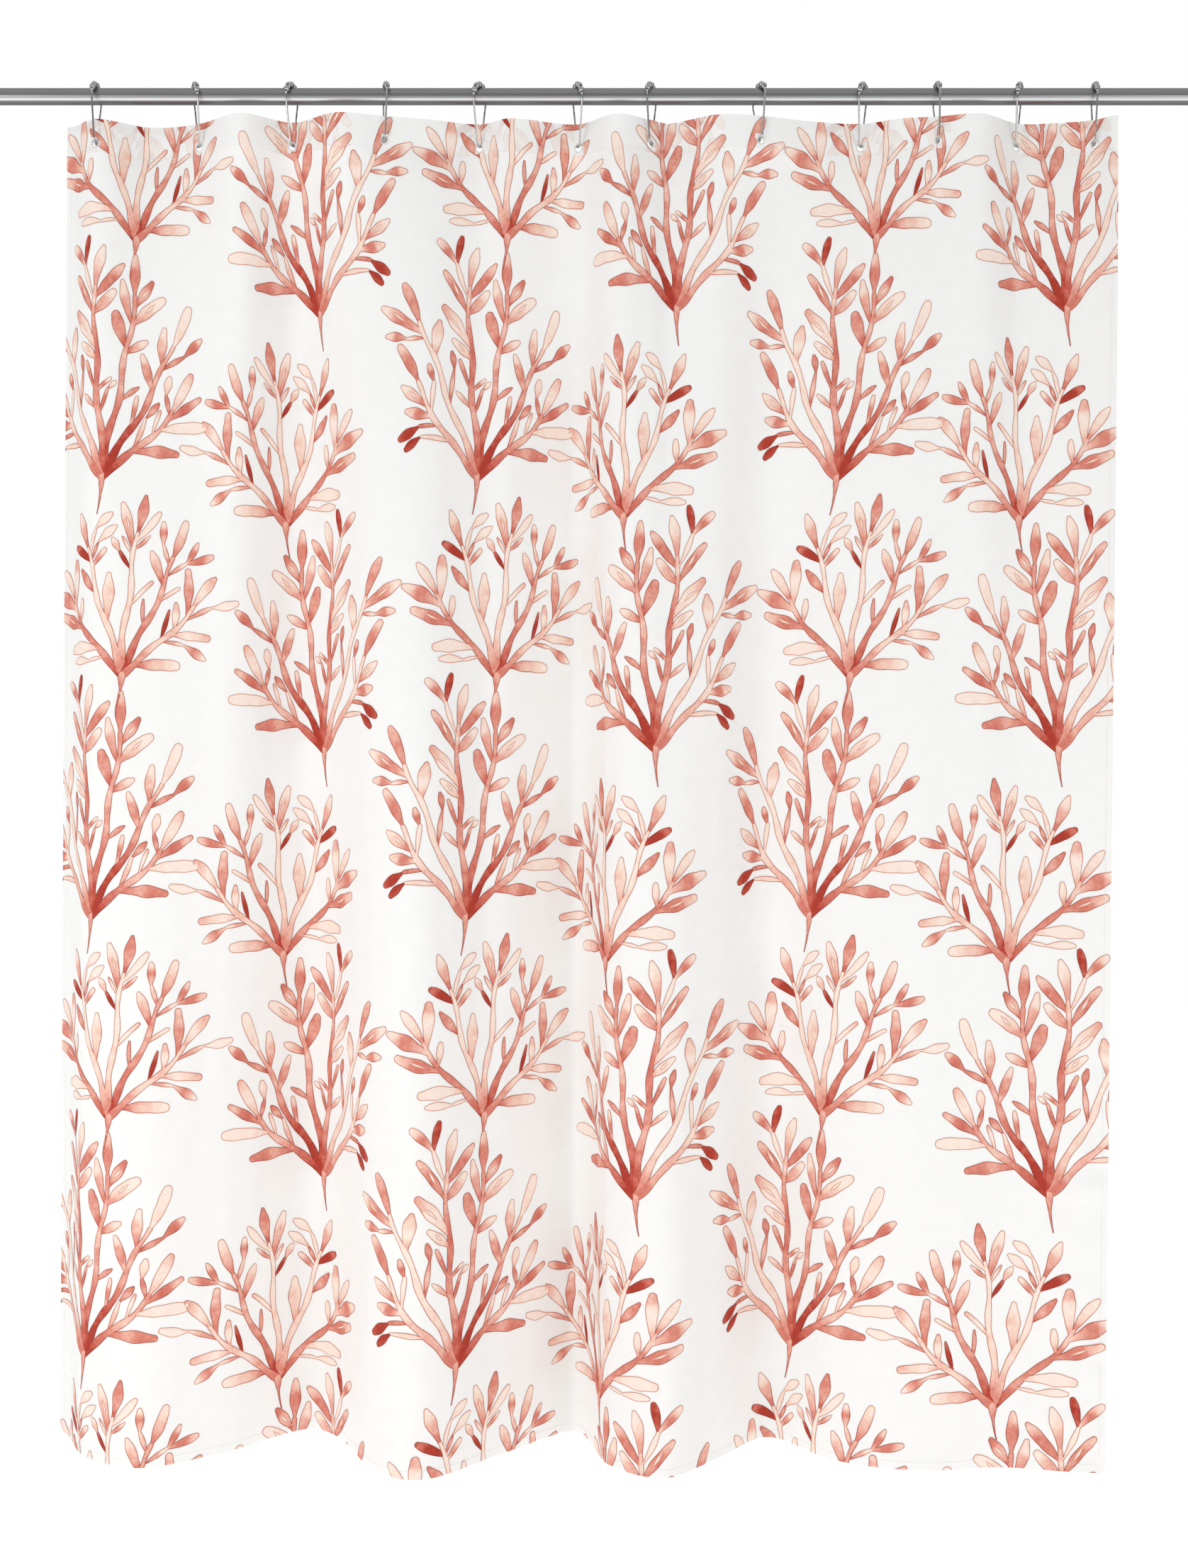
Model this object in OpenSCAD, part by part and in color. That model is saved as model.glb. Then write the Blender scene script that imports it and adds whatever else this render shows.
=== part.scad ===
// Shower curtain hung on a wall-to-wall rod by twelve wire hooks with roller balls.
// Millimetres. X runs along the rod, -Y is the room side, +Z is up.
// The origin is the middle of the left wall flange's back face, on the rod's axis.

/* [Rod] */
// Distance between the two walls
rod_span = 1829; // [1780:1:1900]
// Outside diameter of the rod
rod_d = 22; // [19:0.5:22]
// Wall thickness of the rod
rod_wall = 1.2; // [0.8:0.1:2]

/* [Wall flanges] */
// Diameter of the flange plate
flange_d = 60; // [58:1:80]
// Thickness of the flange plate
flange_t = 4; // [3:0.5:6]
// Outside diameter of the flange's hub
hub_d = 30; // [28:0.5:32]
// How far the hub reaches from the wall
hub_len = 28; // [22:1:40]
// Gap around the rod in its hub
hub_gap = 0.05; // [0.02:0.01:0.1]
// Pitch circle of the wall screws
screw_pcd = 45; // [44:0.5:48]
// Diameter of each wall screw hole
screw_hole_d = 4.4; // [3.5:0.1:5]
// Number of wall screws in each flange
screw_count = 3; // [2:1:6]
// Diameter of the grub screw that locks the rod
grub_d = 4; // [3:0.5:5]

/* [Hooks] */
// Diameter of the hook wire
wire_d = 2.4; // [2:0.1:2.6]
// Radius of the bend that carries the roller balls
bow_r = 19; // [19:0.1:20]
// Diameter of each roller ball
ball_d = 8.5; // [8:0.1:8.6]
// Bore of each roller ball
ball_bore = 3.8; // [3.7:0.1:4.2]
// Angle between neighbouring balls on the bend
ball_step = 27; // [26.5:0.5:28]
// Gap between the top ball and the rod
ball_gap = 0.1; // [0.05:0.05:0.3]
// Radius of the small bend at the hook's foot
foot_r = 6; // [5:0.5:7]

/* [Cloth] */
// Flat height of the curtain
cloth_height = 1829; // [1780:1:1880]
// Thickness of the cloth
cloth_t = 0.8; // [0.6:0.1:1.2]
// Distance from the top edge down to the buttonholes
hole_drop = 33; // [28:1:34]
// Depth of the doubled header
header_depth = 45; // [44:1:60]
// Depth of the bottom hem
bottom_hem = 12; // [8:1:20]
// Width of the side hems
side_hem = 10; // [6:1:16]
// Inside diameter of a buttonhole
hole_d = 10; // [9:0.5:11]
// Width of the stitched rim around a buttonhole
rim_w = 2; // [1:0.5:2.5]

/* [Hidden] */
$fn = 48;

// Where each hook stands along the rod, and how far it is turned about the vertical
hook_x = [234, 370, 501, 629, 758, 892, 993, 1140, 1282, 1383, 1496, 1599];
hook_yaw = [2, -20, 14, -14, 22, -19, 20, -20, 24, -2, 21, 5];

// Folds of the top edge: how far the cloth stands behind the rod's axis along X
top_folds = [
    [186, 26], [234, -4], [300, 26], [370, 14], [436, -24], [501, 9], [565, -26], [629, -14],
    [690, -2], [758, 15], [800, -6], [892, 15], [945, -22], [993, 0], [1018, 12], [1080, -18],
    [1140, -15], [1210, 4], [1282, 13], [1335, -6], [1383, -12], [1440, -22], [1496, 12],
    [1530, 13], [1599, 0], [1626, -18]];
// Folds of the bottom edge, fewer and deeper
bottom_folds = [
    [154, 88], [215, 6], [303, -34], [400, 14], [505, 98], [557, 66], [618, -39], [687, -72],
    [780, 6], [880, 90], [906, 62], [932, -20], [1008, -65], [1080, -6], [1160, 70],
    [1240, -8], [1350, -42], [1453, -32], [1598, -50]];
// Rate at which the top folds merge into the bottom ones
merge_power = 0.6;

left_top = top_folds[0].x;
right_top = top_folds[len(top_folds) - 1].x;
left_bottom = bottom_folds[0].x;
right_bottom = bottom_folds[len(bottom_folds) - 1].x;

wire_r = wire_d / 2;
ball_r = ball_d / 2;
// Height of the bend's centre, set by the top ball resting on the rod
bow_z = rod_d / 2 + ball_gap + ball_r - bow_r;
front_turn = 100;
back_turn = 106.9;
front_leg = 54;
foot_turn = 110;
tip_len = 8;
tip_r = 1.5;
eye_r = 3.2;
eye_at = 6;
stop_turn = 2 * ball_step + 16.5;
stop_r = 2.1;
joint_r = wire_r + 0.07;
joint_inset = 0.3;
front_top = bow_point(-front_turn);
front_end = front_top + front_leg * [-cos(front_turn), -sin(front_turn)];
foot_centre = front_end + foot_r * [sin(front_turn), -cos(front_turn)];
tip_start = foot_centre + foot_r * [cos(90 + front_turn + foot_turn), sin(90 + front_turn + foot_turn)];
tip_slope = front_turn + foot_turn - 180;
tip_dir = [cos(tip_slope), sin(tip_slope)];
tip_end = tip_start + tip_len * tip_dir;
eye_centre = tip_start + eye_at * tip_dir;
eye_top = eye_centre + eye_r * [-tip_dir.y, tip_dir.x];
// The point on the foot bend that passes through the cloth
foot_y = foot_centre.x;
foot_z = foot_centre.y - foot_r;
edge_z = foot_z + hole_drop;
// The hems lap the panel's back by this much
layer_lap = 0.1;
layer_low = cloth_t / 2 - layer_lap;
layer_high = layer_low + cloth_t;
// A buttonhole's stitching stands a little proud of the cloth on both sides
rim_front = cloth_t / 2 + 0.2;
rim_back = layer_high + 0.3;

// The grub screw stands under the middle of the hub and stops just short of the rod
grub_x = flange_t + (hub_len - flange_t) / 2;
grub_len = hub_d / 2 - rod_d / 2 - 0.1;

// Columns of the cloth's mesh, as shares of its width, with one more at each side hem
columns = 96;
hem_u = side_hem / (right_top - left_top);
column_u = concat([0, hem_u], [for (i = [1:columns - 1]) i / columns], [1 - hem_u, 1]);
// Rows of the cloth's mesh, as drops below the top edge
drop_rows = [0, hole_drop, header_depth, 130, 280, 500, 760, 1040, 1320, 1600,
             cloth_height - bottom_hem, cloth_height];
header_rows = [0, hole_drop, header_depth];
body_rows = [for (d = drop_rows) if (d >= header_depth && d <= cloth_height - bottom_hem) d];
hem_rows = [cloth_height - bottom_hem, cloth_height];

function two(i) = i < 10 ? str("0", i) : str(i);

// A point of the bow in its own plane, as [depth, height], turned from the top
function bow_point(turn) = [bow_r * sin(turn), bow_z + bow_r * cos(turn)];

// Smooth curve through a list of folds: cubic pieces with matched slopes
function slope_at(folds, i) =
    i == 0 || i == len(folds) - 1 ? 0
    : (folds[i + 1].y - folds[i - 1].y) / (folds[i + 1].x - folds[i - 1].x);
function piece_at(folds, x, i = 0) =
    i >= len(folds) - 2 || x < folds[i + 1].x ? i : piece_at(folds, x, i + 1);
function fold_depth(folds, x) =
    let (i = piece_at(folds, x),
         a = folds[i],
         b = folds[i + 1],
         w = b.x - a.x,
         t = min(1, max(0, (x - a.x) / w)),
         ma = slope_at(folds, i) * w,
         mb = slope_at(folds, i + 1) * w)
    a.y * (2 * t ^ 3 - 3 * t ^ 2 + 1) + ma * (t ^ 3 - 2 * t ^ 2 + t)
    + b.y * (3 * t ^ 2 - 2 * t ^ 3) + mb * (t ^ 3 - t ^ 2);

// How far the top folds have merged into the bottom ones at a drop below the edge
function merged(drop) =
    drop <= header_depth ? 0
    : ((drop - header_depth) / (cloth_height - header_depth)) ^ merge_power;
function cloth_x(u, drop) =
    let (w = drop / cloth_height)
    (1 - u) * (left_top + w * (left_bottom - left_top))
    + u * (right_top + w * (right_bottom - right_top));
function cloth_y(x, drop) =
    let (w = merged(drop)) (1 - w) * fold_depth(top_folds, x) + w * fold_depth(bottom_folds, x);
// Direction of the cloth in plan, in degrees from the rod
function cloth_turn(x, drop) = atan2(cloth_y(x + 1, drop) - cloth_y(x - 1, drop), 2);
function cloth_point(u, drop, lift) =
    let (x = cloth_x(u, drop), turn = cloth_turn(x, drop))
    [x - lift * sin(turn), cloth_y(x, drop) + lift * cos(turn), edge_z - drop];

// Where a hook's foot meets the cloth, and how far the hook leans about the rod to reach it
function hole_x(i) = hook_x[i] + foot_y * sin(hook_yaw[i]);
function foot_reach(i) = norm([foot_y * cos(hook_yaw[i]), foot_z]);
function hook_lean(i) =
    asin(cloth_y(hole_x(i), hole_drop) / foot_reach(i)) - atan2(foot_y * cos(hook_yaw[i]), -foot_z);

// A closed sheet between two lifts from the cloth's middle, over some columns and rows
module sheet(us, drops, low, high) {
    nu = len(us);
    nd = len(drops);
    count = nu * nd;
    points = [for (lift = [low, high]) for (d = drops) for (u = us) cloth_point(u, d, lift)];
    front = [for (r = [0:nd - 2]) for (c = [0:nu - 2])
        let (a = r * nu + c) each [[a, a + 1, a + nu + 1], [a, a + nu + 1, a + nu]]];
    back = [for (f = front) [f[2] + count, f[1] + count, f[0] + count]];
    rim = concat(
        [for (c = [0:nu - 1]) c],
        [for (r = [1:nd - 1]) r * nu + nu - 1],
        [for (c = [nu - 2:-1:0]) (nd - 1) * nu + c],
        [for (r = [nd - 2:-1:1]) r * nu]);
    edge = [for (k = [0:len(rim) - 1])
        let (a = rim[k], b = rim[(k + 1) % len(rim)])
        each [[a, a + count, b + count], [a, b + count, b]]];
    polyhedron(points, concat(front, back, edge), convexity = 12);
}

// Children placed at a buttonhole, with Z along the cloth's normal
module at_buttonhole(i) {
    translate([hole_x(i), cloth_y(hole_x(i), hole_drop), foot_z])
        rotate([0, 0, cloth_turn(hole_x(i), hole_drop)])
            rotate([-90, 0, 0])
                children();
}

module buttonhole_cuts() {
    for (i = [0:11])
        at_buttonhole(i)
            cylinder(h = 12, d = hole_d + rim_w, center = true);
}

// Children placed on a hook, standing in its own upright plane
module at_hook(i) {
    translate([hook_x[i], 0, 0])
        rotate([hook_lean(i), 0, 0])
            rotate([0, 0, -hook_yaw[i]])
                children();
}

// A bend of wire in the YZ plane about a centre, from one angle through a turn
module wire_bend(centre, radius, from, turn) {
    translate([0, centre.x, centre.y])
        rotate([from, 0, 0])
            rotate([90, 0, 90])
                rotate_extrude(angle = turn)
                    translate([radius, 0])
                        circle(r = wire_r, $fn = 24);
}

// A straight piece of wire in the YZ plane between two points, its ends inside the joints
module wire_run(a, b) {
    d = b - a;
    translate([0, a.x, a.y])
        rotate([-atan2(d.x, d.y), 0, 0])
            translate([0, 0, joint_inset])
                cylinder(h = norm(d) - 2 * joint_inset, r = wire_r, $fn = 24);
}

// A round lump on the wire: a joint between two pieces, a stop or the blunt tip
module wire_lump(p, r) {
    translate([0, p.x, p.y])
        sphere(r = r, $fn = 24);
}

// One hook: bow over the rod, front leg with its foot, back leg with its eye
module hook_wire(i) {
    color("silver")
        at_hook(i) {
            wire_bend([0, bow_z], bow_r, 90 - back_turn, back_turn + front_turn);
            wire_run(front_top, front_end);
            wire_bend(foot_centre, foot_r, 90 + front_turn, foot_turn);
            wire_run(tip_start, tip_end);
            wire_run(bow_point(back_turn), eye_top);
            for (p = [front_top, front_end, tip_start, bow_point(back_turn)])
                wire_lump(p, joint_r);
            wire_lump(tip_end, tip_r);
            wire_lump(eye_top, tip_r);
            for (side = [-1, 1])
                wire_lump(bow_point(side * stop_turn), stop_r);
            translate([0, eye_centre.x, eye_centre.y])
                rotate([tip_slope - 90, 0, 0])
                    rotate_extrude()
                        translate([eye_r, 0])
                            circle(r = wire_r, $fn = 24);
        }
}

// A drilled ball on the bow, turned from the top
module roller_ball(turn) {
    place = bow_point(turn);
    translate([0, place.x, place.y])
        rotate([-90 - turn, 0, 0])
            difference() {
                sphere(r = ball_r);
                cylinder(h = ball_d + 2, d = ball_bore, center = true);
            }
}

module top_roller(i) {
    color("gainsboro")
        at_hook(i)
            roller_ball(0);
}

module side_rollers(i) {
    color("gainsboro")
        at_hook(i)
            for (k = [-2, -1, 1, 2])
                roller_ball(k * ball_step);
}

module rod_tube() {
    color("gray")
        translate([flange_t, 0, 0])
            rotate([0, 90, 0])
                difference() {
                    cylinder(h = rod_span - 2 * flange_t, d = rod_d);
                    translate([0, 0, -1])
                        cylinder(h = rod_span, d = rod_d - 2 * rod_wall);
                }
}

// A wall flange with its back at X = 0 and its hub towards +X
module flange() {
    bore_d = rod_d + 2 * hub_gap;
    difference() {
        rotate([0, 90, 0])
            union() {
                cylinder(h = flange_t, d = flange_d);
                cylinder(h = hub_len, d = hub_d);
            }
        translate([flange_t, 0, 0])
            rotate([0, 90, 0])
                cylinder(h = hub_len, d = bore_d);
        for (k = [0:screw_count - 1])
            rotate([90 + k * 360 / screw_count, 0, 0])
                translate([-1, screw_pcd / 2, 0])
                    rotate([0, 90, 0])
                        cylinder(h = flange_t + 2, d = screw_hole_d);
        translate([grub_x, 0, -hub_d])
            cylinder(h = hub_d, d = grub_d + 2 * hub_gap);
    }
}

module flange_left() {
    color("silver")
        flange();
}

module flange_right() {
    color("silver")
        translate([rod_span, 0, 0])
            mirror([1, 0, 0])
                flange();
}

// A grub screw under the hub, with a hexagonal socket
module grub_screw(x) {
    color("dimgray")
        translate([x, 0, -hub_d / 2])
            difference() {
                cylinder(h = grub_len, d = grub_d);
                translate([0, 0, -1])
                    cylinder(h = 2.2, d = grub_d / 2, $fn = 6);
            }
}

module curtain_panel() {
    color("whitesmoke")
        difference() {
            sheet(column_u, drop_rows, -cloth_t / 2, cloth_t / 2);
            buttonhole_cuts();
        }
}

// The folded-over layers, sewn to the panel's back
module header_hem() {
    color("white")
        difference() {
            sheet(column_u, header_rows, layer_low, layer_high);
            buttonhole_cuts();
        }
}

module bottom_hem_band() {
    color("white")
        sheet(column_u, hem_rows, layer_low, layer_high);
}

module side_hem_band(us) {
    color("white")
        sheet(us, body_rows, layer_low, layer_high);
}

// Stitched rims that finish the buttonholes through both layers
module buttonhole_rims() {
    color("ivory")
        for (i = [0:11])
            at_buttonhole(i)
                translate([0, 0, -rim_front])
                    difference() {
                        cylinder(h = rim_front + rim_back, d = hole_d + 2 * rim_w);
                        translate([0, 0, -1])
                            cylinder(h = rim_front + rim_back + 2, d = hole_d);
                    }
}

rod_tube();
flange_left();
flange_right();
grub_screw(grub_x);  // grub_screw_left
grub_screw(rod_span - grub_x);  // grub_screw_right
for (i = [0:11]) {
    hook_wire(i);
    top_roller(i);
    side_rollers(i);
}
curtain_panel();
header_hem();
bottom_hem_band();  // bottom_hem
side_hem_band([column_u[0], column_u[1]]);  // side_hem_left
side_hem_band([column_u[len(column_u) - 2], column_u[len(column_u) - 1]]);  // side_hem_right
buttonhole_rims();
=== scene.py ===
"""Shower curtain: the cloth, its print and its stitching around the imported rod, hooks and rollers."""
import math
import random

import bpy
import numpy as np
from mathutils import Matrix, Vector
from mathutils.geometry import delaunay_2d_cdt


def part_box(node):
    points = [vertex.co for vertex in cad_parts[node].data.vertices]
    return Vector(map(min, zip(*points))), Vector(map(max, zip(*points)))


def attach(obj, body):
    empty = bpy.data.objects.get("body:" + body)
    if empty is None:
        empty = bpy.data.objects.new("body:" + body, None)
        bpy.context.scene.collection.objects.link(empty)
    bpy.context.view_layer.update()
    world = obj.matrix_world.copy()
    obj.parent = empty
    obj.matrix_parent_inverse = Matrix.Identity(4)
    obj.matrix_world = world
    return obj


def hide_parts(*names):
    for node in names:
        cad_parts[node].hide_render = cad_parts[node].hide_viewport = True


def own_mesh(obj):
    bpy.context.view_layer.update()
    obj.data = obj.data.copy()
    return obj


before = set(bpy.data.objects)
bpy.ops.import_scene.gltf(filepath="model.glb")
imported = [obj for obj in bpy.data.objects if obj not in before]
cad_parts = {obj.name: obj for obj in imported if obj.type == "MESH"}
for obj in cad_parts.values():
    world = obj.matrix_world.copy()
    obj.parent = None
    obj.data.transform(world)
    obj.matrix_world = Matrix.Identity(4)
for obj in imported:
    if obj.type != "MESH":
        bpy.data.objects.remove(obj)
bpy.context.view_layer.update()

MM = 0.001
rng = random.Random(7)

# ---------------------------------------------------------------- camera, floor and light

ROD_LOW, ROD_HIGH = (Vector(c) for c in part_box("rod_tube"))
MID_X = (ROD_LOW.x + ROD_HIGH.x) / 2
PANEL_LOW, PANEL_HIGH = (Vector(c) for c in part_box("curtain_panel"))
# The camera looks level along +Y at the middle of the span, this far in front of the rod and below it
CAMERA_DISTANCE = 2.222
CAMERA_DROP = 0.940
SENSOR_MM = 36.0
LENS_MM = 37.302
FLOOR_Z = PANEL_LOW.z - 0.14
FLOOR_RADIUS = 6.0
FLOOR_GLOW = 0.42
STUDIO_STRENGTH = 0.80
# Brightness of the studio by height, from straight down at 0 to straight up at 1
STUDIO_STOPS = [(0.0, 0.95), (0.30, 0.85), (0.42, 0.45), (0.60, 0.40), (0.74, 0.95), (1.0, 1.0)]
LIGHT_AIM = (MID_X, 0, -1.1)
KEY_WATTS, FILL_WATTS = 24, 21


def add_camera():
    data = bpy.data.cameras.new("camera")
    data.sensor_fit = "VERTICAL"
    data.sensor_height = SENSOR_MM
    data.lens = LENS_MM
    data.clip_end = 60
    camera = bpy.data.objects.new("camera", data)
    bpy.context.collection.objects.link(camera)
    camera.location = (MID_X, -CAMERA_DISTANCE, -CAMERA_DROP)
    camera.rotation_euler = (math.radians(90), 0, 0)
    bpy.context.scene.camera = camera


def add_area(name, where, aim, size, power):
    """A round soft light, turned to face its aim."""
    data = bpy.data.lights.new(name, "AREA")
    data.shape = "DISK"
    data.size = size
    data.energy = power
    light = bpy.data.objects.new(name, data)
    bpy.context.collection.objects.link(light)
    light.location = where
    light.rotation_euler = (Vector(aim) - Vector(where)).to_track_quat("-Z", "Y").to_euler()


def add_world():
    """White to the camera; a plain soft studio, darker near the horizon, to everything else."""
    world = bpy.data.worlds.new("studio")
    world.use_nodes = True
    bpy.context.scene.world = world
    nodes, links = world.node_tree.nodes, world.node_tree.links
    nodes.clear()
    coords = nodes.new("ShaderNodeTexCoord")
    split = nodes.new("ShaderNodeSeparateXYZ")
    ramp = nodes.new("ShaderNodeValToRGB")
    path = nodes.new("ShaderNodeLightPath")
    studio = nodes.new("ShaderNodeBackground")
    white = nodes.new("ShaderNodeBackground")
    mix = nodes.new("ShaderNodeMixShader")
    out = nodes.new("ShaderNodeOutputWorld")
    remap = nodes.new("ShaderNodeMapRange")
    remap.inputs["From Min"].default_value = -1
    links.new(coords.outputs["Generated"], split.inputs[0])
    links.new(split.outputs["Z"], remap.inputs["Value"])
    links.new(remap.outputs[0], ramp.inputs[0])
    elements = ramp.color_ramp.elements
    for i, (place, value) in enumerate(STUDIO_STOPS):
        stop = elements[i] if i < 2 else elements.new(place)
        stop.position = place
        stop.color = (value, value, value, 1)
    links.new(ramp.outputs[0], studio.inputs["Color"])
    studio.inputs["Strength"].default_value = STUDIO_STRENGTH
    white.inputs["Color"].default_value = (1, 1, 1, 1)
    links.new(path.outputs["Is Camera Ray"], mix.inputs[0])
    links.new(studio.outputs[0], mix.inputs[1])
    links.new(white.outputs[0], mix.inputs[2])
    links.new(mix.outputs[0], out.inputs[0])


def add_floor():
    bpy.ops.mesh.primitive_circle_add(vertices=96, radius=FLOOR_RADIUS, fill_type="NGON",
                                      location=(MID_X, 0, FLOOR_Z))
    floor = bpy.context.object
    floor.name = "floor"
    mat = bpy.data.materials.new("floor_paper")
    mat.use_nodes = True
    nodes, links = mat.node_tree.nodes, mat.node_tree.links
    shader = nodes["Principled BSDF"]
    shader.inputs["Base Color"].default_value = (0.9, 0.9, 0.9, 1)
    shader.inputs["Roughness"].default_value = 0.95
    shader.inputs["Emission Color"].default_value = (1, 1, 1, 1)
    shader.inputs["Emission Strength"].default_value = FLOOR_GLOW
    floor.data.materials.append(mat)


add_camera()
add_world()
add_floor()
add_area("key", (MID_X - 2.4, -2.4, -0.7), LIGHT_AIM, 1.2, KEY_WATTS)
add_area("fill", (MID_X + 2.6, -3.0, -1.2), LIGHT_AIM, 2.2, FILL_WATTS)
bpy.context.scene.view_settings.view_transform = "Standard"

# ---------------------------------------------------------------- the hung cloth

CLOTH = 1.829
HOLE_DROP, HEADER, BOTTOM_HEM, SIDE_HEM = 33 * MM, 45 * MM, 12 * MM, 10 * MM
EDGE_Z = PANEL_HIGH.z
# The top's folds give way to the bottom's with this power of the share of the drop below the header
MERGE_POWER = 0.6

# Depth of the folds behind the rod's axis along X, in millimetres, as the CAD cloth has them
TOP_FOLDS = [
    (186, 26), (234, -4), (300, 26), (370, 14), (436, -24), (501, 9), (565, -26), (629, -14),
    (690, -2), (758, 15), (800, -6), (892, 15), (945, -22), (993, 0), (1018, 12), (1080, -18),
    (1140, -15), (1210, 4), (1282, 13), (1335, -6), (1383, -12), (1440, -22), (1496, 12),
    (1530, 13), (1599, 0), (1626, -18)]
BOTTOM_FOLDS = [
    (154, 88), (215, 6), (303, -34), (400, 14), (505, 98), (557, 66), (618, -39), (687, -72),
    (780, 6), (880, 90), (906, 62), (932, -20), (1008, -65), (1080, -6), (1160, 70),
    (1240, -8), (1350, -42), (1453, -32), (1598, -50)]


def fold_depth(folds, x):
    """Smooth cubic curve through a list of folds, in metres."""
    p = np.array(folds, float) * MM
    slope = np.zeros(len(p))
    slope[1:-1] = (p[2:, 1] - p[:-2, 1]) / (p[2:, 0] - p[:-2, 0])
    i = np.clip(np.searchsorted(p[:, 0], x, side="right") - 1, 0, len(p) - 2)
    w = p[i + 1, 0] - p[i, 0]
    t = np.clip((x - p[i, 0]) / w, 0, 1)
    return (p[i, 1] * (2 * t**3 - 3 * t**2 + 1) + slope[i] * w * (t**3 - 2 * t**2 + t)
            + p[i + 1, 1] * (3 * t**2 - 2 * t**3) + slope[i + 1] * w * (t**3 - t**2))


NOISE_WAVES = 7


def smooth_noise(s, t, seed, wide, tall):
    """Low, soft unevenness made of a few seeded waves with the given sizes in metres."""
    pick = random.Random(seed)
    total = np.zeros_like(s)
    for _ in range(NOISE_WAVES):
        a, b = pick.uniform(0.6, 1.6) / wide, pick.uniform(-1.3, 1.3) / tall
        total += np.sin(2 * math.pi * (a * s + b * t + pick.random()))
    return total / NOISE_WAVES


ROWS, COLUMNS = 520, 916
PATH_POINTS = 4001
GRID_T = np.linspace(0, CLOTH, ROWS)
GRID_S = np.linspace(0, CLOTH, COLUMNS)


def hung_cloth():
    """Places of a fine grid on the hung cloth, ROWS x COLUMNS x 3, evenly spaced along each row."""
    grid = np.zeros((ROWS, COLUMNS, 3))
    left_top, right_top = TOP_FOLDS[0][0] * MM, TOP_FOLDS[-1][0] * MM
    left_bottom, right_bottom = BOTTOM_FOLDS[0][0] * MM, BOTTOM_FOLDS[-1][0] * MM
    u = np.linspace(0, 1, PATH_POINTS)
    for r, drop in enumerate(GRID_T):
        share = drop / CLOTH
        x = ((1 - u) * (left_top + share * (left_bottom - left_top))
             + u * (right_top + share * (right_bottom - right_top)))
        merged = max(0, (drop - HEADER) / (CLOTH - HEADER)) ** MERGE_POWER
        y = (1 - merged) * fold_depth(TOP_FOLDS, x) + merged * fold_depth(BOTTOM_FOLDS, x)
        length = np.concatenate([[0], np.cumsum(np.hypot(np.diff(x), np.diff(y)))])
        s = GRID_S / CLOTH * length[-1]
        grid[r, :, 0] = np.interp(s, length, x)
        grid[r, :, 1] = np.interp(s, length, y)
        grid[r, :, 2] = EDGE_Z - drop
    return grid


def grid_normals(grid):
    """Unit normals of the grid, on the room side."""
    along = np.gradient(grid, axis=1)
    down = np.gradient(grid, axis=0)
    n = np.cross(along, -down)
    return n / np.linalg.norm(n, axis=2, keepdims=True)


# Heights of the cloth's unevenness
BROAD_WAVE, FINE_WAVE = 1.6 * MM, 0.5 * MM
HEM_PUCKER, SEAM_PUCKER, SIDE_PUCKER = 1.1 * MM, 0.45 * MM, 1.1 * MM
CORNER_CRUMPLE = 3.2 * MM


def beside(values, line, reach):
    """Share of a pucker beside a seam: 1 on its line, and fading within a reach of it."""
    return np.exp(-((values - line) / reach) ** 2)


def fade_in(values, start, length):
    """Share that rises from 0 at a start to 1 a length further on."""
    return np.clip((values - start) / length, 0, 1)


def wrinkle(grid):
    """Small unevenness of real cloth: soft waves, puckers at the hems and a crumpled lower right edge."""
    s, t = np.meshgrid(GRID_S, GRID_T)
    below = fade_in(t, HEADER, 0.25)
    lift = BROAD_WAVE * below * smooth_noise(s, t, 3, 0.16, 0.9)
    lift += FINE_WAVE * below * smooth_noise(s, t, 5, 0.05, 0.35)
    hem = beside(t, CLOTH - BOTTOM_HEM, 0.010)
    lift += HEM_PUCKER * hem * smooth_noise(s, t, 11, 0.022, 0.5)
    seam = beside(t, HEADER, 0.014)
    lift += SEAM_PUCKER * seam * smooth_noise(s, t, 13, 0.03, 0.5)
    for edge in (SIDE_HEM, CLOTH - SIDE_HEM):
        side = beside(s, edge, 0.010) * fade_in(t, HEADER, 0.05)
        lift += SIDE_PUCKER * side * smooth_noise(t, s, 17, 0.035, 0.5)
    corner = beside(s, CLOTH, 0.07) * fade_in(t, 1.05, 0.4)
    lift += CORNER_CRUMPLE * corner * smooth_noise(t, s, 19, 0.055, 0.12)
    return grid + grid_normals(grid) * lift[:, :, None]


GRID = wrinkle(hung_cloth())
NORMALS = grid_normals(GRID)


def on_cloth(s, t, lift):
    """Places on the hung cloth of flat points (s across, t down), lifted towards the room."""
    s, t = np.asarray(s, float), np.asarray(t, float)
    short = 1.001  # just short of the last row or column, so that each point has a next one
    c = np.clip(s / CLOTH * (COLUMNS - 1), 0, COLUMNS - short)
    r = np.clip(t / CLOTH * (ROWS - 1), 0, ROWS - short)
    ci, ri = c.astype(int), r.astype(int)
    fc, fr = (c - ci)[:, None], (r - ri)[:, None]

    def blend(a):
        return ((a[ri, ci] * (1 - fc) + a[ri, ci + 1] * fc) * (1 - fr)
                + (a[ri + 1, ci] * (1 - fc) + a[ri + 1, ci + 1] * fc) * fr)

    lift = np.broadcast_to(np.asarray(lift, float), s.shape)
    return blend(GRID) + blend(NORMALS) * lift[:, None]


def flat_s_at(x, drop):
    """The flat place across of the cloth point at X, at a drop below the edge."""
    row = GRID[int(round(drop / CLOTH * (ROWS - 1))), :, 0]
    return float(np.interp(x, row, GRID_S))


# ---------------------------------------------------------------- pieces of cloth

def flat_places(points):
    """Places for the materials' patterns: flat points with a third coordinate of 0."""
    return np.column_stack([points, np.zeros(len(points))])


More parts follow.
